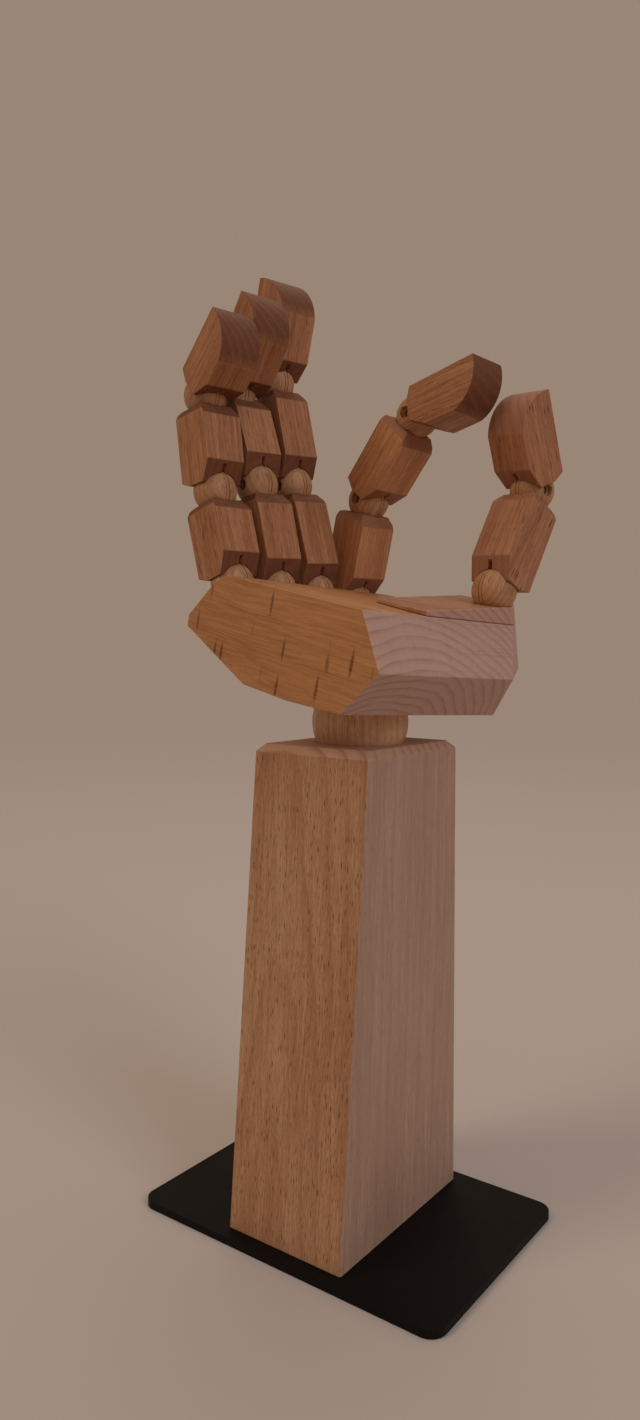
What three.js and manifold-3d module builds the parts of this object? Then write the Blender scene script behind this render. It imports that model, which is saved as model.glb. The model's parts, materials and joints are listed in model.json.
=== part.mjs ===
// Articulated wooden decor hand on a tapered post and a steel base plate.
// Millimetres, +Z up, origin at the centre of the plate's underside.
import * as THREE from 'three';
import Module from 'manifold-3d';
import { mergeVertices } from 'three/addons/utils/BufferGeometryUtils.js';

const wasm = await Module();
wasm.setup();
const rad = THREE.MathUtils.degToRad;

// ---- base plate and post -------------------------------------------------
const PLATE = { x: 94, y: 65, t: 2, r: 4.5 };
const POST_FOOT = { x: 36, y: 57.4 };            // section standing on the plate
const POST_HEAD = { x: 36, y: 43.6 };            // section under the top bevel
const POST_LEAN = { x: 1.6, y: 1.1 };            // head centre against foot centre
const POST_TOP = 130;
const POST_BEVEL = 2.0;                          // round the top
const POST_ARRIS = 0.5;                          // down the four edges
const SCREW = { dx: 11, shank: 1.7, head: 3.4, headT: 1.5, len: 22, gap: 0.2 };

// ---- wrist ---------------------------------------------------------------
const WRIST = new THREE.Vector3(2.0, 1.3, 135.4);  // centre of the wrist ball
const WRIST_R = 12.9;
const WRIST_GAP = 0.3;
const DOWEL = { r: 3, down: 19, up: -2.2, gap: 0.2 };
const WRIST_PIN = { r: 1.5, half: 7, gap: 0.15 };   // crosses the ball under the palm

// ---- palm, in its own frame ----------------------------------------------
// x towards the heel of the hand, y towards the thumb side, z out of the palm;
// origin at the heel, little-finger side, palm surface.
const PALM_TURN = { yaw: -10.9, tilt: 11.5, roll: -2.35 };
const WRIST_IN_PALM = new THREE.Vector3(-23.5, 30.9, -32.4);
const PALM_W = 60.8;
const PALM_PROFILE = [                           // x, z round the side face
  [0, 0], [8.8, -12.9], [-1.2, -24.9], [-21, -26.2], [-37.5, -26.1],
  [-65, -16.1], [-65, -12.9], [-55.6, -2.3], [-50.6, 0],
];
// bevels of the heel corner on the thumb side, each through three points
const HEEL_CUTS = [
  [[8.8, 49.6, -12.9], [0, 57.2, 0], [1.9, 60.8, -11]],
  [[8.8, 49.6, -12.9], [0.4, 56.6, -23.4], [1.9, 60.8, -11]],
];
// wedge block glued on the palm that carries the thumb
const THUMB_BLOCK = {
  outline: [[0, 21.8], [-9.1, 22.8], [-20.2, 25.6], [-22.2, 27.2], [-22.2, 60.8], [0, 60.8]],
  lift: 0.08, z0: 1.3, slopeY: 0.1045, slopeX: 0.03, y0: 22,
};
const BLOCK_PEG = { x: -14, y: 40, r: 1.5, down: 6, gap: 0.15 };

// ---- fingers -------------------------------------------------------------
const KNUCKLE = { x: -57.5, z: -2.8, y0: 7.5, pitch: 15.2 };
const SEC = 12.6;                                // square section of a finger
const BALL_R = 5.9;
const CUP_R = 6.15;
const END_GAP = 1.5;                             // ball centre to the deep cup's end face
const SEAT = 3.7;                                // ball centre to the shallow cup's end face
const PIN = { r: 0.95, half: 4.1, bore: 1.1, mouth: 1.6, mouthAt: 4.4 };   // bored from one side
const GROOVE = { w: 1.2, depth: 0.45 };          // shallow groove round the palm side of a ball
const SLOT = { w: 1.3, from: 0, to: 6.3, floor: 1.0 };
const TIP_CURVE = { back: 11.4, rise: 1.5, end: 8.3, steps: 9 };   // arc of a fingertip
// per segment: flex about the pin, sideways lean, turn about its own length, and length;
// pinFrom: the end of each pin's axis that it was driven in from
const FINGERS = {
  little: { row: 0, pinFrom: [-1, -1, -1],
    seg: [[62.6, -3.3, -0.4, 26.5], [70.2, -3.2, 0.5, 26.7], [125.6, -3.0, -0.6, 22.4]] },
  ring: { row: 1, pinFrom: [1, 1, 1],
    seg: [[66.3, -5.2, 1.0, 30.0], [60.8, -5.0, 1.2, 27.7], [115.3, -2.9, 0.8, 26.8]] },
  middle: { row: 2, pinFrom: [1, 1, 1],
    seg: [[64.2, -5.7, 0.5, 32.6], [67.0, -5.8, 0.2, 31.0], [94.9, -4.0, 0.1, 28.2]] },
  index: { row: 3, pinFrom: [1, 1, 1],
    seg: [[93.2, -3.2, 2.5, 29.1], [118.7, -1.0, 0.6, 28.4], [156.4, 1.0, 0.4, 25.1]] },
};
const THUMB = { at: [-5.4, 53.1, 7.9], pinFrom: [1, -1],
  seg: [[-25.6, -8.3, 5.4, 31.3], [25.0, -8.7, 3.3, 25.0]] };

// ---- colours of the stand-in materials -----------------------------------
const WOOD = 0xc08a5c, WOOD_BALL = 0xcb9a68, BLACK = 0x17171a, STEEL = 0x9a9a9c;

// ---- solids --------------------------------------------------------------
function toManifold(geometry) {
  let g = geometry.clone();
  g.deleteAttribute('normal');
  g.deleteAttribute('uv');
  g = mergeVertices(g, 1e-4);
  const triVerts = Uint32Array.from(g.index.array);
  const vertProperties = Float32Array.from(g.attributes.position.array);
  return new wasm.Manifold(new wasm.Mesh({ numProp: 3, vertProperties, triVerts }));
}
function toGeometry(m) {
  const mesh = m.getMesh();
  const g = new THREE.BufferGeometry();
  g.setAttribute('position', new THREE.Float32BufferAttribute(Array.from(mesh.vertProperties), 3));
  g.setIndex(Array.from(mesh.triVerts));
  return g;
}
// convex solid over a list of [x, y, z]
const hull = (pts) => wasm.Manifold.hull(pts);
// side profile [x, z] carried from y0 to y1
const slab = (profile, y0, y1) =>
  hull(profile.flatMap(([x, z]) => [[x, y0, z], [x, y1, z]]));
const block = (x0, x1, y0, y1, z0, z1) =>
  hull([x0, x1].flatMap((x) => [y0, y1].flatMap((y) => [z0, z1].map((z) => [x, y, z]))));
function ball(r, n, at = [0, 0, 0]) {
  const g = new THREE.SphereGeometry(r, n, Math.round(n / 2));
  g.rotateX(Math.PI / 2);
  g.translate(...at);
  return toManifold(g);
}
// round bar along 'x', 'y' or 'z' between a and b
function bar(r, n, axis, a, b, at = [0, 0, 0], r2 = r) {
  const g = new THREE.CylinderGeometry(r2, r, b - a, n);
  g.translate(0, (a + b) / 2, 0);
  if (axis === 'x') g.rotateZ(-Math.PI / 2);
  if (axis === 'z') g.rotateX(Math.PI / 2);
  g.translate(...at);
  return toManifold(g);
}
// drop everything on the outer side of the plane through three points
function cutBy(m, p, q, s, inside) {
  const [P, Q, S] = [p, q, s].map((v) => new THREE.Vector3(...v));
  const n = Q.clone().sub(P).cross(S.clone().sub(P)).normalize();
  if (n.dot(new THREE.Vector3(...inside).sub(P)) < 0) n.negate();
  return m.trimByPlane(n.toArray(), n.dot(P));
}

// ---- base ----------------------------------------------------------------
function basePlate() {
  const s = new THREE.Shape();
  const { x, y, r } = PLATE;
  s.moveTo(-x / 2 + r, -y / 2);
  s.lineTo(x / 2 - r, -y / 2);
  s.absarc(x / 2 - r, -y / 2 + r, r, -Math.PI / 2, 0);
  s.lineTo(x / 2, y / 2 - r);
  s.absarc(x / 2 - r, y / 2 - r, r, 0, Math.PI / 2);
  s.lineTo(-x / 2 + r, y / 2);
  s.absarc(-x / 2 + r, y / 2 - r, r, Math.PI / 2, Math.PI);
  s.lineTo(-x / 2, -y / 2 + r);
  s.absarc(-x / 2 + r, -y / 2 + r, r, Math.PI, Math.PI * 1.5);
  const g = new THREE.ExtrudeGeometry(s, { depth: PLATE.t, bevelEnabled: false, curveSegments: 6 });
  let m = toManifold(g);
  for (const sx of [-1, 1]) {
    const at = [sx * SCREW.dx, 0, 0];
    m = m.subtract(bar(SCREW.shank + SCREW.gap, 16, 'z', -1, PLATE.t + 1, at));
    m = m.subtract(bar(SCREW.head + SCREW.gap, 16, 'z', -0.01, SCREW.headT + 0.1, at,
      SCREW.shank + SCREW.gap));
  }
  return m;
}
function baseScrew(sx) {
  const at = [sx * SCREW.dx, 0, 0];
  const head = bar(SCREW.head, 16, 'z', 0.15, SCREW.headT, at, SCREW.shank);
  const shank = bar(SCREW.shank, 16, 'z', 0.5, SCREW.len - 3, at);
  const point = bar(SCREW.shank, 16, 'z', SCREW.len - 3.01, SCREW.len, at, 0.4);
  const bit = (w, d) => block(at[0] - w, at[0] + w, -d, d, 0, 1.0);
  return head.add(shank).add(point).subtract(bit(1.9, 0.35).add(bit(0.35, 1.9)));
}
function ringAt(w, d, cx, cy, z, a) {
  const x = w / 2, y = d / 2;
  return [[x - a, y], [x, y - a], [x, -y + a], [x - a, -y], [-x + a, -y], [-x, -y + a],
    [-x, y - a], [-x + a, y]].map(([u, v]) => [u + cx, v + cy, z]);
}
function postBody() {
  const b = POST_BEVEL, z0 = PLATE.t + 0.02;
  let m = hull([
    ...ringAt(POST_FOOT.x, POST_FOOT.y, 0, 0, z0, POST_ARRIS),
    ...ringAt(POST_HEAD.x, POST_HEAD.y, POST_LEAN.x, POST_LEAN.y, POST_TOP - b, POST_ARRIS),
    ...ringAt(POST_HEAD.x - 2 * b, POST_HEAD.y - 2 * b, POST_LEAN.x, POST_LEAN.y, POST_TOP, POST_ARRIS),
  ]);
  m = m.subtract(ball((WRIST_R + WRIST_GAP) / Math.cos(Math.PI / 32), 32, WRIST.toArray()));
  const d = [WRIST.x, WRIST.y, 0];
  m = m.subtract(bar(DOWEL.r + DOWEL.gap, 16, 'z', WRIST.z - DOWEL.down - 0.5, WRIST.z, d));
  for (const sx of [-1, 1]) {
    m = m.subtract(bar(SCREW.shank + SCREW.gap, 16, 'z', 0, SCREW.len + 1, [sx * SCREW.dx, 0, 0]));
  }
  return m;
}

// ---- wrist ---------------------------------------------------------------
const palmTurn = new THREE.Matrix4().makeRotationFromEuler(
  new THREE.Euler(rad(PALM_TURN.roll), rad(PALM_TURN.tilt), rad(PALM_TURN.yaw), 'ZYX'));
const wristFrame = palmTurn.clone().setPosition(WRIST);
function wristBall() {
  const c = WRIST.toArray();
  const m = ball(WRIST_R, 32, c);
  const p = WRIST_PIN;
  const bore = bar(p.r + p.gap, 12, 'y', -p.half - 0.3, p.half + 0.3).transform(wristFrame.elements);
  return m.subtract(bar(DOWEL.r + DOWEL.gap, 16, 'z', -WRIST_R - 1, 0, c)).subtract(bore);
}
const wristPin = () =>
  bar(WRIST_PIN.r, 12, 'y', -WRIST_PIN.half, WRIST_PIN.half).transform(wristFrame.elements);
const wristDowel = () =>
  bar(DOWEL.r, 16, 'z', -DOWEL.down, DOWEL.up, WRIST.toArray());

// ---- palm ----------------------------------------------------------------
const palmMatrix = wristFrame.clone()
  .multiply(new THREE.Matrix4().makeTranslation(WRIST_IN_PALM.clone().negate()));
const inWorld = (m) => m.transform(palmMatrix.elements);
const knuckleAt = (row) => new THREE.Vector3(KNUCKLE.x, KNUCKLE.y0 + KNUCKLE.pitch * row, KNUCKLE.z);
const heelInside = [-20, 20, -12];
const cupCut = (at) => ball(CUP_R / Math.cos(Math.PI / 16), 16, at);

function blockBody() {
  const t = THUMB_BLOCK;
  const top = ([x, y]) => t.z0 + t.slopeY * (y - t.y0) + t.slopeX * x;
  let m = hull(t.outline.flatMap(([x, y]) => [[x, y, t.lift], [x, y, top([x, y])]]));
  for (const c of HEEL_CUTS) m = cutBy(m, ...c, heelInside);
  m = m.subtract(cupCut(THUMB.at));
  const p = BLOCK_PEG;
  return m.subtract(bar(p.r + p.gap, 12, 'z', -1, 2.2, [p.x, p.y, 0]));
}
function palmBody() {
  let m = slab(PALM_PROFILE, 0, PALM_W);
  for (const c of HEEL_CUTS) m = cutBy(m, ...c, heelInside);
  m = m.subtract(ball((WRIST_R + WRIST_GAP) / Math.cos(Math.PI / 32), 32, WRIST_IN_PALM.toArray()));
  for (const f of Object.values(FINGERS)) m = m.subtract(cupCut(knuckleAt(f.row).toArray()));
  m = m.subtract(cupCut(THUMB.at));
  const p = BLOCK_PEG;
  return m.subtract(bar(p.r + p.gap, 12, 'z', -p.down - 0.3, 1, [p.x, p.y, 0]));
}
const blockPeg = () =>
  bar(BLOCK_PEG.r, 12, 'z', -BLOCK_PEG.down, 1.9, [BLOCK_PEG.x, BLOCK_PEG.y, 0]);

// ---- finger parts, drawn along +x with the palm side at +z ----------------
function nearEnd() {                             // end face round the deep cup
  const s = SEC / 2;
  return [[3.1, -s], [END_GAP, -2.6], [END_GAP, 3.0], [7.2, s]];
}
function segmentProfile(len) {
  const s = SEC / 2, e = len - SEAT;
  return [...nearEnd(), [e - 3.4, s], [e, s - 1.9], [e, -s + 1.6], [e - 0.5, -s]];
}
function tipProfile(len) {
  // an arc that leaves the back of the finger nearly square and meets the palm side at a crease
  const s = SEC / 2, pts = nearEnd(), t = TIP_CURVE;
  const centre = [len - t.back, -s + t.rise];
  const r = Math.hypot(t.back, t.rise);
  const from = Math.acos((t.back - t.end) / r), to = -Math.asin(t.rise / r);
  for (let i = 0; i <= t.steps; i++) {
    const a = from + (to - from) * i / t.steps;
    const z = centre[1] + r * Math.sin(a);
    pts.push([centre[0] + r * Math.cos(a), Math.min(z, s)]);
  }
  return pts;
}
function segment(len, isTip) {
  const s = SEC / 2;
  let m = slab(isTip ? tipProfile(len) : segmentProfile(len), -s, s);
  if (!isTip) {                                  // bevel the far side edges a little
    const e = len - SEAT, k = 1.3;
    for (const y of [-1, 1]) {
      m = cutBy(m, [e, y * (s - k), 0], [e - k * 1.6, y * s, 0], [e, y * (s - k), 1], [5, 0, 0]);
    }
    m = m.subtract(cupCut([len, 0, 0]));
  }
  m = m.subtract(cupCut([0, 0, 0]));
  return m.subtract(block(SLOT.from, SLOT.to, -SLOT.w / 2, SLOT.w / 2, SLOT.floor, s + 1));
}
// side: +1 or -1, the end of the y axis that the pin goes in from
function jointBall(side) {
  let m = ball(BALL_R, 16);
  const ring = block(-7, 7, -GROOVE.w / 2, GROOVE.w / 2, 0.6, 7).subtract(ball(BALL_R - GROOVE.depth, 16));
  m = m.subtract(ring);
  const blind = -PIN.half - 0.2;
  const [a, b] = side > 0 ? [blind, 7] : [-7, -blind];
  m = m.subtract(bar(PIN.bore, 10, 'y', a, b));
  const [c, d] = side > 0 ? [PIN.mouthAt, 7] : [-7, -PIN.mouthAt];
  return m.subtract(bar(PIN.mouth, 12, 'y', c, d));
}
const jointPin = () => bar(PIN.r, 10, 'y', -PIN.half, PIN.half);

// matrix taking the drawing frame of a segment to the palm frame
function segmentMatrix(at, [flex, lean, turn], thumb) {
  const e = new THREE.Vector3(-1, 0, 0), n = new THREE.Vector3(0, 0, 1);
  if (thumb) { e.set(0, 0, 1); n.set(0, -1, 0); }
  const h = e.clone().cross(n);
  const swing = (a, b, deg) => {                 // a towards b
    const c = Math.cos(rad(deg)), s = Math.sin(rad(deg));
    const a0 = a.clone(), b0 = b.clone();
    a.copy(a0).multiplyScalar(c).addScaledVector(b0, s);
    b.copy(b0).multiplyScalar(c).addScaledVector(a0, -s);
  };
  swing(e, n, flex);
  swing(e, h, lean);
  swing(h, n, turn);
  // drawing frame: x = e, z = n, y = z cross x = -h
  return new THREE.Matrix4().makeBasis(e, h.clone().negate(), n).setPosition(at);
}

// ---- assembly ------------------------------------------------------------
const group = new THREE.Group();
group.name = 'decor_hand';
function put(name, manifold, color, roughness = 0.6, metalness = 0) {
  const material = new THREE.MeshStandardMaterial({ color, roughness, metalness });
  material.name = `${name}_mat`;
  const mesh = new THREE.Mesh(toGeometry(manifold), material);
  mesh.name = name;
  group.add(mesh);
}
put('base_plate', basePlate(), BLACK, 0.5, 0.6);
put('base_screw_a', baseScrew(-1), STEEL, 0.35, 1);
put('base_screw_b', baseScrew(1), STEEL, 0.35, 1);
put('post', postBody(), WOOD);
put('wrist_dowel', wristDowel(), WOOD_BALL);
put('wrist_ball', wristBall(), WOOD_BALL);
put('wrist_pin', wristPin(), STEEL, 0.35, 1);
put('palm', inWorld(palmBody()), WOOD);
put('thumb_block', inWorld(blockBody()), WOOD);
put('thumb_peg', inWorld(blockPeg()), WOOD_BALL);

function chain(name, start, { seg: segs, pinFrom }, thumb) {
  const at = start.clone();
  segs.forEach((s, i) => {
    const m = palmMatrix.clone().multiply(segmentMatrix(at, s, thumb));
    const k = i + 1;
    put(`${name}_ball${k}`, jointBall(pinFrom[i]).transform(m.elements), WOOD_BALL);
    put(`${name}_pin${k}`, jointPin().transform(m.elements), STEEL, 0.35, 1);
    put(`${name}_seg${k}`, segment(s[3], i === segs.length - 1).transform(m.elements), WOOD);
    const e = new THREE.Vector3().setFromMatrixColumn(segmentMatrix(at, s, thumb), 0);
    at.addScaledVector(e, s[3]);
  });
}
for (const [name, f] of Object.entries(FINGERS)) chain(name, knuckleAt(f.row), f, false);
chain('thumb', new THREE.Vector3(...THUMB.at), THUMB, true);

export default group;
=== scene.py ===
"""Looks of a jointed wooden hand on a post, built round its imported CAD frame. Blender 4.5, metres."""

import json
import math
import random

import bmesh
import bpy
from mathutils import Matrix, Vector

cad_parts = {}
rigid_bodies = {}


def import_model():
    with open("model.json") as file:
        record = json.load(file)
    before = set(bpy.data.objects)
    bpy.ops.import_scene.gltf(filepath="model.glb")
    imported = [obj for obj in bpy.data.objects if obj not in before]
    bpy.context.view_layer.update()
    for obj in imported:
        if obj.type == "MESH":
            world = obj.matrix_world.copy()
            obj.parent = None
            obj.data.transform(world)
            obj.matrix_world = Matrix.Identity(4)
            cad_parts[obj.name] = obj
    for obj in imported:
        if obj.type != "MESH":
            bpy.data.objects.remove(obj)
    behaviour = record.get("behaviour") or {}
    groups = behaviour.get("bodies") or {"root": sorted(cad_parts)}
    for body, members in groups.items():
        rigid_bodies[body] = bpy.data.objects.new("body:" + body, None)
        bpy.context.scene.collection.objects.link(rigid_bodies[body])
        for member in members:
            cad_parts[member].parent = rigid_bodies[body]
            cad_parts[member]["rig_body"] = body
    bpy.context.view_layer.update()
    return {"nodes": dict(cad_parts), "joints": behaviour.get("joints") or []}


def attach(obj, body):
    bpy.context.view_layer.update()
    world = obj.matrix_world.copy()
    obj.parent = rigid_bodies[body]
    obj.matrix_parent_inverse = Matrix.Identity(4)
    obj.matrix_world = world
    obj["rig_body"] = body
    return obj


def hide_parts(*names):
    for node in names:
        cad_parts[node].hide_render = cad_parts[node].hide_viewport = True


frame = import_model()

MM = 0.001
NODES = frame["nodes"]
JOINTS = {j["name"]: j for j in frame["joints"]}
DIGITS = {"little": 3, "ring": 3, "middle": 3, "index": 3, "thumb": 2}

# Joint parts, in millimetres and degrees.
BALL_R, CUP_R = 5.95, 6.15
BORE_R, MOUTH_R, MOUTH_AT = 1.1, 1.65, 4.3
LIP_TURN, LIP_DROP = 1.5, 0.18                   # eased rim of a bore's mouth
STRIP_HALF, KERF = 0.42, 0.2                     # link strip let into a ball, and the kerf beside it
STRIP_SINK, KERF_SINK = 0.06, 0.45
SLOT_HALF, SLOT_END, SLOT_FLOOR = 0.65, 6.3, 0.8
PIN_R, PIN_HALF = 0.95, 4.1
BORE_END = PIN_HALF + 0.2                        # blind end of a bore, past the middle of the ball
WRIST_R, WRIST_CUP_R = 12.9, 13.15
WRIST_PIN_R, WRIST_PIN_HALF = 1.65, 7.3          # bore of the pin hidden in the wrist ball
DOWEL_R, DOWEL_DEEP = 3.2, 19.4                  # bore of the dowel, its depth below the ball's middle
DOWEL_TOP = -1.0                                 # and its end in the ball
EASE = {"finger": 0.24, "palm": 0.3, "block": 0.25, "post": 0.35}   # rounding of wooden edges
EASE_OVER = {"finger": 12.0, "palm": 20.0, "block": 20.0, "post": 40.0}   # at edges turning more
EASE_STEPS = 3
MERGE, FLAT_WITHIN = 0.02, math.radians(1.5)     # points and faces of a CAD node taken as one
SMOOTH_UNDER = math.radians(32)


# ---- frames ---------------------------------------------------------------
def axes_matrix(origin, x, y, z):
    """The matrix of a frame with those axes at that point."""
    m = Matrix((x, y, z)).transposed().to_4x4()
    m.translation = origin
    return m


def joint_at(name):
    return Vector(JOINTS[name]["pos_m"])


def joint_axis(name):
    return Vector(JOINTS[name]["axis"]).normalized()


def back_normal(node, pin):
    """Outward normal of a finger block's largest face that runs along its pin: the back of the finger."""
    areas, best, found = {}, 0.0, None
    for p in NODES[node].data.polygons:
        if abs(p.normal.dot(pin)) < 0.02:
            key = tuple(round(c, 2) for c in p.normal)
            areas[key] = areas.get(key, 0.0) + p.area
            if areas[key] > best:
                best, found = areas[key], p.normal.copy()
    return found


def block_frame(digit, k):
    """x along the finger, z out of its palm side, y along the pin, at the centre of its near ball."""
    pin = joint_axis(f"{digit}_bend{k}")
    palm_side = -back_normal(f"{digit}_seg{k}", pin)
    palm_side = (palm_side - pin * palm_side.dot(pin)).normalized()
    along = palm_side.cross(pin).normalized()
    return axes_matrix(joint_at(f"{digit}_bend{k}"), along, -pin, palm_side)


WRIST = joint_at("wrist_bend")
palm_x, palm_y = joint_axis("wrist_tilt"), joint_axis("wrist_bend")
PALM = axes_matrix(WRIST, palm_x, palm_y, palm_x.cross(palm_y).normalized())
UPRIGHT = Matrix.Translation(WRIST)


# ---- mesh helpers -----------------------------------------------------------
def new_object(name, bm, place):
    """An object of that mesh, which is used up, at that place."""
    mesh = bpy.data.meshes.new(name)
    bm.to_mesh(mesh)
    bm.free()
    obj = bpy.data.objects.new(name, mesh)
    bpy.context.scene.collection.objects.link(obj)
    obj.matrix_world = place
    return obj


def finish_shading(obj):
    """Round surfaces smooth, flat ones flat right up to their eased edges."""
    for p in obj.data.polygons:
        p.use_smooth = True
    obj.data.set_sharp_from_angle(angle=SMOOTH_UNDER)
    weigh = obj.modifiers.new("weigh", "WEIGHTED_NORMAL")
    weigh.mode, weigh.weight, weigh.keep_sharp = "FACE_AREA", 100, True


def blank(node, place, kind):
    """The uncut convex block that a CAD node was cut from, with its edges eased."""
    bm = bmesh.new()
    into = place.inverted()
    for v in NODES[node].data.vertices:
        bm.verts.new((into @ v.co) / MM)
    bmesh.ops.remove_doubles(bm, verts=bm.verts, dist=MERGE)
    made = bmesh.ops.convex_hull(bm, input=bm.verts)
    spare = {e for key in ("geom_interior", "geom_unused") for e in made[key]
             if isinstance(e, bmesh.types.BMVert)}
    bmesh.ops.delete(bm, geom=list(spare), context="VERTS")
    bmesh.ops.dissolve_limit(bm, angle_limit=FLAT_WITHIN, verts=bm.verts, edges=bm.edges)
    bmesh.ops.dissolve_degenerate(bm, dist=MERGE, edges=bm.edges)
    bmesh.ops.recalc_face_normals(bm, faces=bm.faces)
    edges = [e for e in bm.edges if e.calc_face_angle(0.0) > math.radians(EASE_OVER[kind])]
    bmesh.ops.bevel(bm, geom=edges, offset=EASE[kind], segments=EASE_STEPS, profile=0.5,
                    affect="EDGES", clamp_overlap=True)
    return bm


def cut(obj, cutters):
    """Takes each cutter mesh away from obj for good."""
    for cutter in cutters:
        tool = new_object("cutter", cutter, obj.matrix_world)
        mod = obj.modifiers.new("cut", "BOOLEAN")
        mod.operation, mod.solver, mod.object = "DIFFERENCE", "EXACT", tool
        bpy.context.view_layer.update()
        done = bpy.data.meshes.new_from_object(obj.evaluated_get(bpy.context.evaluated_depsgraph_get()))
        obj.modifiers.clear()
        old, obj.data = obj.data, done
        done.name = obj.name
        bpy.data.meshes.remove(old)
        bpy.data.objects.remove(tool)


def globe(radius, at=(0, 0, 0), rings=32):
    """A sphere."""
    bm = bmesh.new()
    bmesh.ops.create_uvsphere(bm, u_segments=rings * 2, v_segments=rings, radius=radius,
                              matrix=Matrix.Translation(at))
    return bm


def box(lo, hi):
    """A box between two corners."""
    bm = bmesh.new()
    size = [b - a for a, b in zip(lo, hi)]
    mid = [(a + b) / 2 for a, b in zip(lo, hi)]
    bmesh.ops.create_cube(bm, size=1.0, matrix=Matrix.Translation(mid) @ Matrix.Diagonal((*size, 1)))
    return bm


def rod(radius, half, axis, at=(0, 0, 0)):
    """A round bar along an axis, half its length each way from its middle."""
    bm = bmesh.new()
    turn = axis.to_track_quat("Z", "Y").to_matrix().to_4x4()
    bmesh.ops.create_cone(bm, cap_ends=True, segments=32, radius1=radius, radius2=radius,
                          depth=2 * half, matrix=Matrix.Translation(at) @ turn)
    return bm


def turned(profile, steps, closed):
    """A profile of (radius, y) points turned about the y axis. Points on the axis are shared."""
    bm = bmesh.new()
    rows = []
    for r, y in profile:
        if r < 1e-6:
            rows.append([bm.verts.new((0, y, 0))] * steps)
        else:
            rows.append([bm.verts.new((r * math.cos(a), y, r * math.sin(a)))
                         for a in (2 * math.pi * i / steps for i in range(steps))])
    pairs = list(zip(rows, rows[1:])) + ([(rows[-1], rows[0])] if closed else [])
    for a, b in pairs:
        for i in range(steps):
            j = (i + 1) % steps
            corners = []
            for v in (a[i], a[j], b[j], b[i]):
                if v not in corners:
                    corners.append(v)
            if len(corners) > 2:
                bm.faces.new(corners)
    bmesh.ops.recalc_face_normals(bm, faces=bm.faces)
    return bm


def arc(radius, start, end, steps):
    """Points (radius * cos, radius * sin) for angles in degrees, both ends included."""
    return [(radius * math.cos(a), radius * math.sin(a))
            for a in (math.radians(start + (end - start) * i / steps) for i in range(steps + 1))]


# ---- pieces -----------------------------------------------------------------
def joint_ball(side):
    """A turned ball with a link strip let in round the middle and a pin bore from one side (+y or -y)."""
    mouth = math.degrees(math.acos(MOUTH_R / BALL_R))
    strip = math.degrees(STRIP_HALF / BALL_R)
    kerf = math.degrees((STRIP_HALF + KERF) / BALL_R)
    inner = BALL_R - KERF_SINK
    whole = arc(BALL_R, -90.0, -kerf, 20)
    middle = arc(BALL_R - STRIP_SINK, -strip, strip, 4)
    middle = [(inner, whole[-1][1]), (inner, middle[0][1])] + middle + [(inner, middle[-1][1])]
    half = arc(BALL_R, kerf, mouth - LIP_TURN, 14)
    lip = [(MOUTH_R, BALL_R * math.sin(math.radians(mouth)) - LIP_DROP), (MOUTH_R, MOUTH_AT)]
    bore = [(BORE_R, MOUTH_AT), (BORE_R, -BORE_END), (0.0, -BORE_END)]
    profile = whole + middle + [(inner, half[0][1])] + half + lip + bore
    return turned([(r, side * y) for r, y in profile], 64, closed=False)


def joint_pin():
    """A cross pin with rounded ends and a shallow centre mark in each."""
    end = [(0.0, PIN_HALF - 0.12), (0.22, PIN_HALF - 0.02), (PIN_R - 0.25, PIN_HALF),
           (PIN_R - 0.07, PIN_HALF - 0.07), (PIN_R, PIN_HALF - 0.25)]
    return turned([(r, -y) for r, y in end] + list(reversed(end)), 32, closed=False)


def finger_block(digit, k):
    """One finger block: cups for its near and far ball, and a saw slot on its palm side."""
    place = block_frame(digit, k)
    obj = new_object(f"{digit}_block{k}", blank(f"{digit}_seg{k}", place, "finger"), place)
    cutters = [globe(CUP_R), box((-1, -SLOT_HALF, SLOT_FLOOR), (SLOT_END, SLOT_HALF, 9))]
    if k < DIGITS[digit]:
        cutters.append(globe(CUP_R, (place.inverted() @ joint_at(f"{digit}_bend{k + 1}")) / MM))
    cut(obj, cutters)
    return obj


def knuckles_in(place):
    """Centres of the first ball of each digit in that frame."""
    return [(place.inverted() @ joint_at(f"{d}_bend1")) / MM for d in DIGITS]


def seated_block(name, node, kind, with_wrist):
    """A block of the palm, with a cup for each knuckle ball that it carries."""
    obj = new_object(name, blank(node, PALM, kind), PALM)
    cutters = [globe(CUP_R, at) for at in knuckles_in(PALM)]
    if with_wrist:
        cutters.append(globe(WRIST_CUP_R, rings=48))
    cut(obj, cutters)
    return obj


def turned_wrist_ball():
    """The big ball: a closed globe with the dowel's bore in its foot."""
    foot = math.degrees(math.asin(DOWEL_R / WRIST_R))
    shell = [(WRIST_R * math.sin(math.radians(a)), -WRIST_R * math.cos(math.radians(a)))
             for a in (foot + (180 - foot) * i / 40 for i in range(41))]
    shell[-1] = (0.0, WRIST_R)
    bm = turned([(0.0, DOWEL_TOP), (DOWEL_R, DOWEL_TOP)] + shell, 72, closed=False)
    bmesh.ops.rotate(bm, verts=bm.verts, matrix=Matrix.Rotation(math.radians(90), 3, "X"))
    return bm


# ---- materials ----------------------------------------------------------------
def srgb(text):
    """A hex colour as linear RGBA."""
    parts = [int(text[i:i + 2], 16) / 255 for i in (0, 2, 4)]
    return [c / 12.92 if c <= 0.04045 else ((c + 0.055) / 1.055) ** 2.4 for c in parts] + [1.0]


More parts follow.
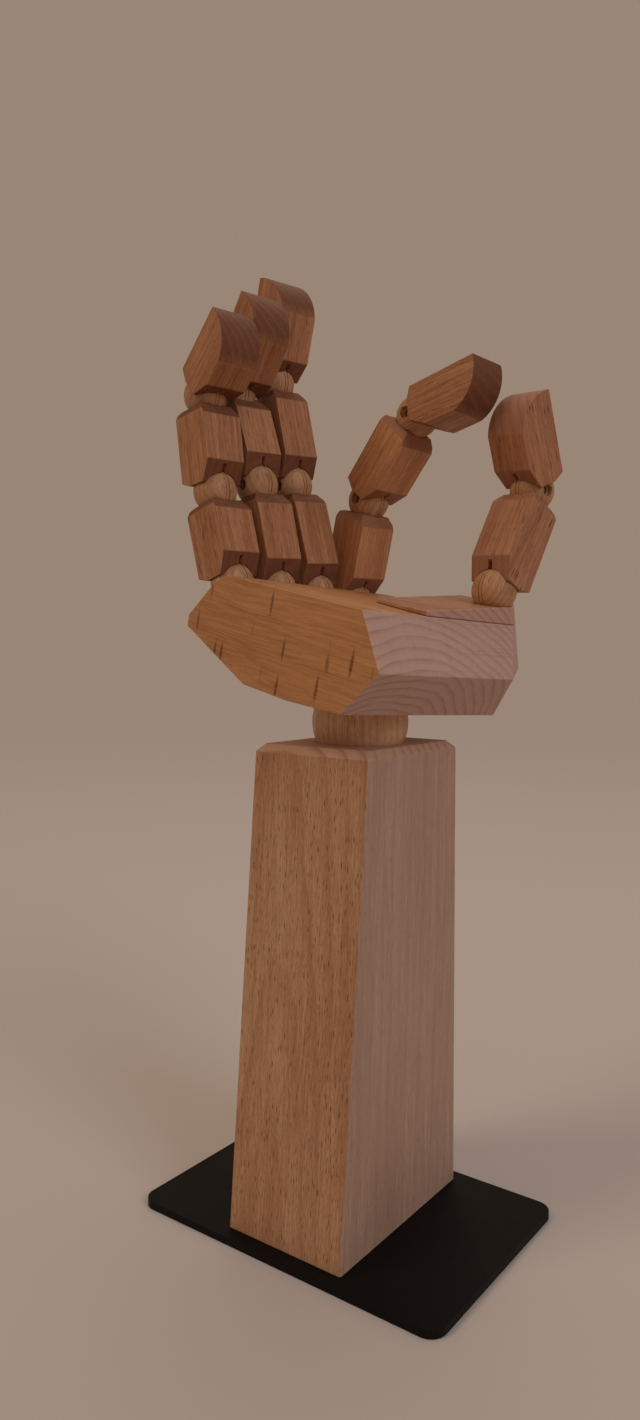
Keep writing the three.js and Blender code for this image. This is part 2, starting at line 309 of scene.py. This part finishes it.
class Tree:
    """A material's nodes, with short ways to add and join them."""

    def __init__(self, name):
        self.mat = bpy.data.materials.new(name)
        self.mat.use_nodes = True
        self.nodes, self.links = self.mat.node_tree.nodes, self.mat.node_tree.links
        self.bsdf = self.nodes["Principled BSDF"]

    def put(self, socket, value):
        if isinstance(value, bpy.types.NodeSocket):
            self.links.new(value, socket)
        elif value is not None:
            socket.default_value = value

    def add(self, kind, inputs, **settings):
        node = self.nodes.new("ShaderNode" + kind)
        for key, value in settings.items():
            setattr(node, key, value)
        for key, value in inputs.items():
            self.put(node.inputs[key], value)
        return node

    def math(self, op, a, b=None, c=None, clamp=False):
        node = self.add("Math", {}, operation=op, use_clamp=clamp)
        for socket, value in zip(node.inputs, (a, b, c)):
            self.put(socket, value)
        return node.outputs[0]

    def scaled(self, vector, factors):
        return self.add("VectorMath", {0: vector, 1: factors}, operation="MULTIPLY").outputs[0]

    def moved(self, vector, by):
        return self.add("VectorMath", {0: vector, 1: by}, operation="ADD").outputs[0]

    def dot(self, vector, axis):
        return self.add("VectorMath", {0: vector, 1: list(axis)}, operation="DOT_PRODUCT").outputs["Value"]

    def noise(self, vector, detail=3.0, roughness=0.55, distortion=0.0):
        return self.add("TexNoise", {"Vector": vector, "Scale": 1.0, "Detail": detail,
                                     "Roughness": roughness, "Distortion": distortion}).outputs["Fac"]

    def span(self, value, low, high, to_low=0.0, to_high=1.0):
        """value taken from low..high to to_low..to_high, held at both ends."""
        return self.add("MapRange", {"Value": value, "From Min": low, "From Max": high,
                                     "To Min": to_low, "To Max": to_high}).outputs[0]

    def blend(self, share, a, b):
        """Colour a, with a share of colour b."""
        return self.add("Mix", {0: share, 6: a, 7: b}, data_type="RGBA").outputs[2]


WOOD = {                                         # pale, deep and fleck colours of each sort of block
    # end: the end grain's own darker tone, made darker still as painted shade on the fingertips, which face
    # away from the light
    "finger": dict(pale="c08a62", deep="85502f", fleck="4a2411", end="5f3423"),
    # paler than the finger wood: painted light on the index blocks, which lie in the key light's shade
    "index": dict(pale="d49c70", deep="a3683f", fleck="5f3018", end="8a5b45"),
    "thumb": dict(pale="bd845f", deep="855234", fleck="47200f", end="9a6a52"),
    "ball": dict(pale="c79a70", deep="966440", fleck="5f351a", end="b98b62"),
    # paler than the ball wood: painted light on the wrist ball, which lies in the palm's shadow
    "wrist": dict(pale="eec49c", deep="c08d63", fleck="7a4a28", end="d0a47c"),
    "palm": dict(pale="c68f5d", deep="98613a", fleck="552b10", end="bfa297"),
    "block": dict(pale="c08d68", deep="8f5c3b", fleck="5c3219", end="c0988a"),
    "post": dict(pale="c09674", deep="996845", fleck="57311b", end="c09a80"),
}
# pale pink laid on quarter faces: partly their own paler tone, partly painted cool light
QUARTER_TONE_AND_COOL_LIGHT = "ada19b"
COAT, RUBBED, DUST = "060606", "0c0b0b", "6f6a64"
STEEL, STAINED = "8f8a84", "5c5149"


def wood(name, sort, seed, grain=(1, 0, 0), radial=(0, 0, 1), pith=(12.0, 40.0), ring=2.1, rings=0.35,
         fleck=0.75, fleck_size=(7.0, 1.15, 12.0), fleck_share=0.55, ribbon=0.12, pore=0.5, late_end=0.8,
         rosy_and_cool_light=0.0, saw=0.0):
    """Beech, in the object's own axes and in millimetres.

    grain runs along the tree and radial away from its middle, which lies pith away along the rings and
    across them. ring is a year's growth, and fleck_size the spacing of the medullary rays along the
    grain, along the rings and across them. rings, late_end, pore and fleck say how dark the late lines,
    those on end grain, the pores and the rays are, and fleck_share how many rays there are. ribbon is
    how much of the rays shows on quarter faces, those that look along the rings, and rosy how much
    paler and pinker such a face is: partly its own tone and partly painted cool light, such as falls on
    the post's right side. saw is the depth of the marks of a saw on end grain."""
    t, rng, look = Tree(name), random.Random(seed), {k: srgb(v) for k, v in WOOD[sort].items()}
    grain, radial = Vector(grain).normalized(), Vector(radial).normalized()
    axes = (grain, radial.cross(grain), radial)
    place = t.scaled(t.add("TexCoord", {}).outputs["Object"], [1 / MM] * 3)
    p = t.add("CombineXYZ", {i: t.dot(place, a) for i, a in enumerate(axes)}).outputs[0]
    p = t.moved(p, [rng.uniform(-400, 400), 0.0, 0.0])

    # Slow wander of the fibres, so that no line is straight.
    bend = t.add("TexNoise", {"Vector": t.scaled(p, [0.012, 0.05, 0.05]), "Scale": 1.0,
                              "Detail": 2.0}).outputs["Color"]
    bend = t.add("VectorMath", {0: bend, 1: [0.5, 0.5, 0.5]}, operation="SUBTRACT").outputs[0]
    q = t.add("VectorMath", {0: p, 1: t.scaled(bend, [0.0, 5.0, 5.0])}, operation="ADD").outputs[0]

    # Growth rings: a pale year that darkens to a thin late line.
    off = t.moved(t.scaled(q, [0.0, 1.0, 1.0]), [0.0, pith[0], pith[1]])
    reach = t.add("VectorMath", {0: off}, operation="LENGTH").outputs["Value"]
    year = t.math("FRACT", t.math("DIVIDE", reach, ring))
    late = t.math("MULTIPLY", t.span(year, 0.25, 0.86), t.span(year, 0.9, 1.0, 1.0, 0.0))
    late = t.math("POWER", late, 2.2)
    patch = t.noise(t.scaled(q, [0.015, 0.09, 0.09]), 2.0)
    late = t.math("MULTIPLY", late, t.span(patch, 0.3, 0.7, 0.35, 1.0))

    # Which way the surface faces: along the grain, or along the rings.
    facing = t.add("VectorTransform", {0: t.add("NewGeometry", {}).outputs["Normal"]},
                   vector_type="NORMAL", convert_from="WORLD", convert_to="OBJECT").outputs[0]
    end = t.span(t.math("ABSOLUTE", t.dot(facing, axes[0])), 0.15, 0.5)
    quarter = t.span(t.math("ABSOLUTE", t.dot(facing, axes[1])), 0.5, 0.85)

    # Fibres, pores and rays.
    shift = [0.0, rng.uniform(0, 90), rng.uniform(0, 90)]
    fibre = t.noise(t.moved(t.scaled(q, [0.07, 1.9, 1.9]), shift), 5.0, 0.62)
    pores = t.noise(t.moved(t.scaled(q, [0.45, 6.5, 6.5]), shift), 2.0, 0.5)
    cell = t.add("TexVoronoi", {"Vector": t.moved(t.scaled(q, [1 / s for s in fleck_size]), shift),
                                "Scale": 1.0, "Randomness": 1.0})
    ray = t.span(cell.outputs["Distance"], 0.15, 0.27, 1.0, 0.0)
    chosen = t.add("SeparateColor", {0: cell.outputs["Color"]}).outputs[0]
    ray = t.math("MULTIPLY", ray, t.span(chosen, 1 - fleck_share, 1.12 - fleck_share))
    ray = t.math("MULTIPLY", ray, t.span(pores, 0.3, 0.6, 0.45, 1.0))
    ray = t.math("MULTIPLY", ray, t.span(quarter, 0.0, 1.0, 1.0, ribbon))

    tone = t.noise(t.moved(t.scaled(q, [0.012, 0.07, 0.07]), shift), 2.0, 0.5)
    band = t.noise(t.moved(t.scaled(q, [0.004, 0.4, 0.16]), shift), 3.0, 0.6)
    body = t.math("ADD", t.math("MULTIPLY", fibre, 0.55), t.math("MULTIPLY", tone, 0.3))
    body = t.math("ADD", body, t.math("MULTIPLY", band, 0.26))
    colour = t.blend(t.span(body, 0.42, 0.72), look["pale"], look["deep"])
    colour = t.blend(t.math("MULTIPLY", late, rings), colour, look["deep"])
    colour = t.blend(t.math("MULTIPLY", t.span(pores, 0.54, 0.7), pore), colour, look["fleck"])
    colour = t.blend(t.math("MULTIPLY", ray, fleck), colour, look["fleck"])
    # Quarter faces made paler and pinker: partly their own tone, partly painted cool light.
    if rosy_and_cool_light:
        colour = t.blend(t.math("MULTIPLY", quarter, rosy_and_cool_light), colour, srgb(QUARTER_TONE_AND_COOL_LIGHT))
    cut_end = t.blend(t.math("MULTIPLY", late, late_end), look["end"], look["deep"])
    cut_end = t.blend(t.math("MULTIPLY", t.span(pores, 0.5, 0.7), 0.35), cut_end, look["deep"])
    colour = t.blend(t.math("MULTIPLY", end, 0.85), colour, cut_end)

    height = t.math("ADD", t.math("MULTIPLY", fibre, 0.5), t.math("MULTIPLY", pores, 0.25))
    height = t.math("SUBTRACT", height, t.math("MULTIPLY", ray, 0.5))
    if saw:
        lines = [t.noise(t.scaled(place, f), 2.0, 0.6) for f in ([0.02, 4.5, 0.02], [0.02, 0.02, 4.5])]
        marks = t.math("MULTIPLY", t.math("MAXIMUM", *lines), end)
        height = t.math("SUBTRACT", height, t.math("MULTIPLY", marks, saw))
        dark = t.math("MULTIPLY", t.span(marks, 0.55, 0.75), saw * 0.4)
        colour = t.blend(dark, colour, look["fleck"])
    t.put(t.bsdf.inputs["Base Color"], colour)
    rough = t.math("ADD", t.span(fibre, 0.3, 0.7, 0.42, 0.55), t.math("MULTIPLY", end, 0.14))
    t.put(t.bsdf.inputs["Roughness"], rough)
    t.put(t.bsdf.inputs["Specular IOR Level"], 0.26)
    bump = t.add("Bump", {"Height": height, "Strength": 0.35, "Distance": 0.12 * MM})
    t.put(t.bsdf.inputs["Normal"], bump.outputs[0])
    return t.mat


def coated_black():
    """Powder-coated plate: fine orange peel, faint dust and rubbed patches."""
    t = Tree("black_coat")
    place = t.scaled(t.add("TexCoord", {}).outputs["Object"], [1 / MM] * 3)
    peel = t.noise(t.scaled(place, [2.2] * 3), 3.0)
    patch = t.noise(t.scaled(place, [0.05] * 3), 4.0, 0.6)
    speck = t.span(t.noise(t.scaled(place, [3.6] * 3), 1.0), 0.7, 0.8)
    colour = t.blend(t.span(patch, 0.35, 0.7), srgb(COAT), srgb(RUBBED))
    colour = t.blend(t.math("MULTIPLY", speck, 0.35), colour, srgb(DUST))
    t.put(t.bsdf.inputs["Base Color"], colour)
    t.put(t.bsdf.inputs["Roughness"], t.span(patch, 0.3, 0.7, 0.46, 0.6))
    t.put(t.bsdf.inputs["Specular IOR Level"], 0.14)
    bump = t.add("Bump", {"Height": peel, "Strength": 0.2, "Distance": 0.06 * MM})
    t.put(t.bsdf.inputs["Normal"], bump.outputs[0])
    return t.mat


def dull_steel():
    """Plated pin and screw steel, with fine scratches in its roughness and bump, and darker stained patches.
    """
    t = Tree("dull_steel")
    place = t.scaled(t.add("TexCoord", {}).outputs["Object"], [1 / MM] * 3)
    turn = t.noise(t.scaled(place, [9.0, 1.2, 9.0]), 4.0)
    stain = t.noise(t.scaled(place, [0.6] * 3), 3.0)
    colour = t.blend(t.span(stain, 0.35, 0.7), srgb(STEEL), srgb(STAINED))
    t.put(t.bsdf.inputs["Base Color"], colour)
    t.put(t.bsdf.inputs["Metallic"], 1.0)
    t.put(t.bsdf.inputs["Roughness"], t.span(turn, 0.3, 0.7, 0.28, 0.48))
    bump = t.add("Bump", {"Height": turn, "Strength": 0.2, "Distance": 0.03 * MM})
    t.put(t.bsdf.inputs["Normal"], bump.outputs[0])
    return t.mat


# ---- build ------------------------------------------------------------------------
def settle(obj, node, material):
    """Scales a finished piece to metres and puts it in place of its CAD node, on the node's body."""
    obj.data.transform(Matrix.Scale(MM, 4))
    finish_shading(obj)
    obj.data.materials.clear()
    obj.data.materials.append(material)
    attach(obj, NODES[node]["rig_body"])
    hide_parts(node)


# For each finger block: the turn of its growth rings about its length, and how strongly it is flecked.
FIGURE = {"little": ((90, 0.8), (85, 0.8), (55, 0.4)), "ring": ((20, 0.6), (10, 0.6), (45, 0.35)),
          "middle": ((15, 0.5), (10, 0.5), (60, 0.3)), "index": ((0, 0.3), (5, 0.3), (8, 0.2)),
          "thumb": ((85, 1.0), (70, 0.9))}
# Blocks whose wood is not of the sort "finger". The index blocks get the paler index sort, painted light
# where the key light leaves them in shade.
SORT = {"thumb1": "thumb", "thumb2": "thumb", "index1": "index", "index2": "index"}
PIN_SIDE = {"little": (-1, -1, -1), "ring": (1, 1, 1), "middle": (1, 1, 1), "index": (1, 1, 1),
            "thumb": (1, -1)}                    # the end of its axis that each pin went in from

steel, black = dull_steel(), coated_black()
seed = 7
for digit, count in DIGITS.items():
    for k in range(1, count + 1):
        seed += 1
        rng = random.Random(seed)
        place = block_frame(digit, k)
        turn, fleck = FIGURE[digit][k - 1]
        radial = (0.0, math.sin(math.radians(turn)), math.cos(math.radians(turn)))
        pith = (rng.uniform(-16, 16), rng.uniform(30, 60))
        settle(finger_block(digit, k), f"{digit}_seg{k}",
               wood(f"{digit}_wood{k}", SORT.get(f"{digit}{k}", "finger"), seed, radial=radial,
                    pith=pith, ring=rng.uniform(1.9, 2.6), rings=0.6 if digit == "index" else 0.4,
                    fleck=fleck))
        ball = new_object(f"{digit}_joint_ball{k}", joint_ball(PIN_SIDE[digit][k - 1]), place)
        settle(ball, f"{digit}_ball{k}",
               wood(f"{digit}_ball_wood{k}", "ball", seed + 100, pith=pith, ring=1.5, rings=0.5,
                    fleck=0.4))
        pin = new_object(f"{digit}_joint_pin{k}", joint_pin(), place)
        settle(pin, f"{digit}_pin{k}", steel)

settle(seated_block("palm_block", "palm", "palm", True), "palm",
       wood("palm_wood", "palm", 61, pith=(15.9, 22.6), ring=2.3, rings=0.25, fleck=0.85,
            fleck_size=(2.4, 4.0, 16.0), fleck_share=0.6, ribbon=1.0, pore=0.22, late_end=0.6, saw=0.5))
settle(seated_block("thumb_wedge", "thumb_block", "block", False), "thumb_block",
       wood("wedge_wood", "block", 83, pith=(24.0, 33.0), ring=1.9, fleck=0.5))
wrist = new_object("wrist_globe", turned_wrist_ball(), UPRIGHT)
cut(wrist, [rod(WRIST_PIN_R, WRIST_PIN_HALF, palm_y)])
# The wrist ball's wood is the paler wrist sort: painted light where the palm shades it.
settle(wrist, "wrist_ball",
       wood("wrist_wood", "wrist", 29, grain=(0, 0, 1), radial=(0, 1, 0), pith=(22.0, 26.0), ring=1.8,
            rings=0.6))

POST = Matrix.Identity(4)
post = new_object("post_block", blank("post", POST, "post"), POST)
cut(post, [globe(WRIST_CUP_R, WRIST / MM, rings=48),
           rod(DOWEL_R, DOWEL_DEEP / 2, Vector((0, 0, 1)), WRIST / MM - Vector((0, 0, DOWEL_DEEP / 2)))])
# The post's quarter faces, its right side among them, are made paler and pinker: partly their own tone,
# partly painted cool light on that side.
settle(post, "post",
       wood("post_wood", "post", 47, grain=(0, 0, 1), radial=(0, 1, 0), pith=(7.0, 44.0), ring=3.4,
            rings=0.55, fleck=0.8, fleck_size=(4.0, 0.75, 9.0), fleck_share=0.75, rosy_and_cool_light=0.3))

for node, material in (("base_plate", black), ("base_screw_a", steel), ("base_screw_b", steel),
                       ("wrist_pin", steel)):
    obj = NODES[node]
    obj.data.materials.clear()
    obj.data.materials.append(material)
for node in ("wrist_dowel", "thumb_peg"):
    obj = NODES[node]
    obj.data.materials.clear()
    obj.data.materials.append(wood(f"{node}_wood", "ball", len(node), grain=(0, 0, 1), radial=(0, 1, 0)))
edge = NODES["base_plate"].modifiers.new("edge", "BEVEL")
edge.width, edge.segments, edge.angle_limit = 0.35 * MM, 3, math.radians(40)

# ---- floor, light, camera -----------------------------------------------------------
floor_bm = bmesh.new()
bmesh.ops.create_grid(floor_bm, x_segments=1, y_segments=1, size=6.0)
floor = new_object("floor", floor_bm, Matrix.Translation((0, 0, -0.0002)))
paper = Tree("floor_paper")
paper.put(paper.bsdf.inputs["Base Color"], srgb("bfb5af"))
paper.put(paper.bsdf.inputs["Roughness"], 0.85)
floor.data.materials.append(paper.mat)


def lamp(name, kind, at, aim, size, power, colour):
    """An area lamp (size in metres) or a sun (size is its angle in degrees) at a point, aimed at another."""
    data = bpy.data.lights.new(name, kind)
    if kind == "SUN":
        data.angle = math.radians(size)
    else:
        data.shape, data.size = "DISK", size
    data.energy, data.color = power, colour
    obj = bpy.data.objects.new(name, data)
    bpy.context.scene.collection.objects.link(obj)
    obj.location = at
    obj.rotation_mode = "QUATERNION"
    obj.rotation_quaternion = (Vector(aim) - Vector(at)).to_track_quat("-Z", "Y")


HAND = (0.0, 0.0, 0.15)
lamp("key", "SUN", (-0.5, -0.75, 1.0), HAND, 24.0, 0.75, (1.0, 0.85, 0.68))
lamp("fill", "SUN", (0.95, -0.25, 0.75), HAND, 30.0, 0.85, (0.8, 0.87, 1.0))
lamp("top", "AREA", (-0.1, 0.25, 0.95), HAND, 0.5, 1.2, (1.0, 0.94, 0.88))

world = bpy.data.worlds.new("studio")
world.use_nodes = True
world.node_tree.nodes["Background"].inputs["Color"].default_value = srgb("bfa793")
world.node_tree.nodes["Background"].inputs["Strength"].default_value = 0.62
bpy.context.scene.world = world
bpy.context.scene.view_settings.view_transform = "Standard"

EYE = Vector((151.12, -220.70, 154.73)) * MM
YAW, PITCH, ROLL = 0.632, 0.061, 0.008           # left of +Y, below the horizon, and round the view
ahead = Vector((-math.sin(YAW) * math.cos(PITCH), math.cos(YAW) * math.cos(PITCH), -math.sin(PITCH)))
right = Vector((math.cos(YAW), math.sin(YAW), 0.0))
up = right.cross(ahead)
right, up = (right * math.cos(ROLL) + up * math.sin(ROLL), up * math.cos(ROLL) - right * math.sin(ROLL))
lens = bpy.data.cameras.new("camera")
lens.sensor_fit, lens.sensor_height, lens.lens = "VERTICAL", 36.0, 25.28
lens.clip_start, lens.clip_end = 0.01, 20.0
camera = bpy.data.objects.new("camera", lens)
bpy.context.scene.collection.objects.link(camera)
camera.matrix_world = axes_matrix(EYE, right, up, -ahead)
bpy.context.scene.camera = camera
